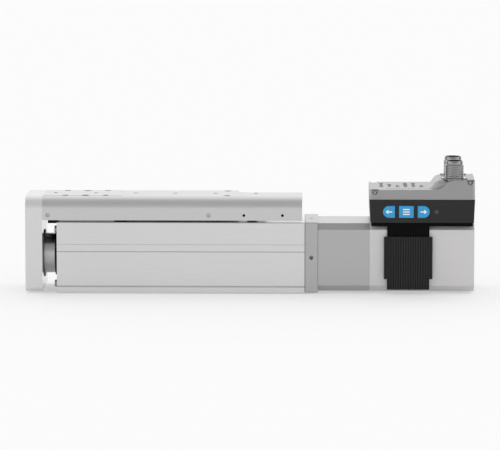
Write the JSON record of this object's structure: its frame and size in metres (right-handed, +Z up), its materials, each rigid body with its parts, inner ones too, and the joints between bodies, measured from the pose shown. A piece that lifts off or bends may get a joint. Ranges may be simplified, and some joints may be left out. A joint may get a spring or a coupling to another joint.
{
  "type": "electric mini slide",
  "caption": "Electric mini slide: a guided table and piston rod pushed by a ball screw, with an in-line motor and a control unit with keys and round plugs.",
  "frame": {"origin": "centre of the housing's underside, its mounting face", "axes": "+X along the stroke towards the motor, -X the way the table extends, +Z up, -Y the side with the keys"},
  "size_m": [0.2788, 0.0494, 0.0824],
  "materials": {
    "bare_aluminium": "satin, natural anodised",
    "grey_housing": "satin, darker anodised",
    "motor_grey": "satin",
    "cover_grey": "satin",
    "guide_steel": "ground",
    "screw_steel": "plain",
    "rod_chrome": "polished",
    "black_plastic": "matte",
    "black_rubber": "matte",
    "bronze": "plain",
    "inner_aluminium": "machined",
    "spider_red": "satin",
    "plug_metal": "nickel plated",
    "pin_gold": "gold plated",
    "board_green": "satin",
    "component_black": "matte",
    "key_blue": "satin",
    "window_clear": "smoked, clear"
  },
  "bodies": {
    "base": {"housing_profile": "bare_aluminium", "drive_flange": "bare_aluminium", "coupling_housing": "grey_housing", "motor_housing": "motor_grey", "control_cover": "cover_grey", "guide_carriage": "guide_steel", "bearing_outer_rings": "guide_steel", "motor_bearings": "guide_steel", "stator_core": "guide_steel", "carriage_screws": "screw_steel", "front_screws": "screw_steel", "flange_set_screws": "screw_steel", "flange_screws": "screw_steel", "motor_screws": "screw_steel", "cover_screws": "screw_steel", "carriage_end_caps": "black_plastic", "control_base": "black_plastic", "control_housing": "black_plastic", "wiring_cover": "black_plastic", "ribbed_cap": "black_plastic", "plug_inserts": "black_plastic", "rod_wiper_ring": "black_rubber", "rod_guide_bush": "bronze", "stator_coils": "bronze", "motor_front_shield": "inner_aluminium", "motor_rear_shield": "inner_aluminium", "plug_shells": "plug_metal", "plug_nuts": "plug_metal", "plug_pins": "pin_gold", "circuit_board": "board_green", "encoder_board": "board_green", "key_board": "board_green", "board_components": "component_black", "status_window": "window_clear"},
    "slide": {"slide_table": "bare_aluminium", "yoke_plate": "bare_aluminium", "yoke_screws": "screw_steel", "rod_screw": "screw_steel", "side_plugs": "screw_steel", "guide_rail": "guide_steel", "rail_screws": "screw_steel", "stop_block": "black_plastic", "piston_rod": "rod_chrome", "rod_buffer_ring": "black_rubber", "ball_nut": "guide_steel"},
    "drive_train": {"spindle": "guide_steel", "lock_nut": "guide_steel", "bearing_inner_rings": "guide_steel", "coupling_hub_spindle": "inner_aluminium", "coupling_spider": "spider_red", "coupling_hub_motor": "inner_aluminium", "motor_shaft": "guide_steel", "rotor": "guide_steel", "encoder_magnet": "component_black"},
    "key_left": {"key_left": "key_blue"},
    "key_middle": {"key_middle": "key_blue"},
    "key_right": {"key_right": "key_blue"}
  },
  "joints": [
    {"name": "table_slide", "type": "slide", "parent": "base", "child": "slide", "axis": [-1, 0, 0], "range_m": [0, 0.075]},
    {"name": "spindle_turn", "type": "hinge", "parent": "base", "child": "drive_train", "pos_m": [0, 0, 0.0225], "axis": [1, 0, 0], "range_deg": [0, 2700]},
    {"name": "key_left_press", "type": "slide", "parent": "base", "child": "key_left", "axis": [0, 1, 0], "range_m": [0, 0.0004], "stiffness_N_per_m": 5000},
    {"name": "key_middle_press", "type": "slide", "parent": "base", "child": "key_middle", "axis": [0, 1, 0], "range_m": [0, 0.0004], "stiffness_N_per_m": 5000},
    {"name": "key_right_press", "type": "slide", "parent": "base", "child": "key_right", "axis": [0, 1, 0], "range_m": [0, 0.0004], "stiffness_N_per_m": 5000}
  ],
  "couplings": [
    {"joint": "spindle_turn", "follows": "table_slide", "rad_per_m": 628.32}
  ]
}
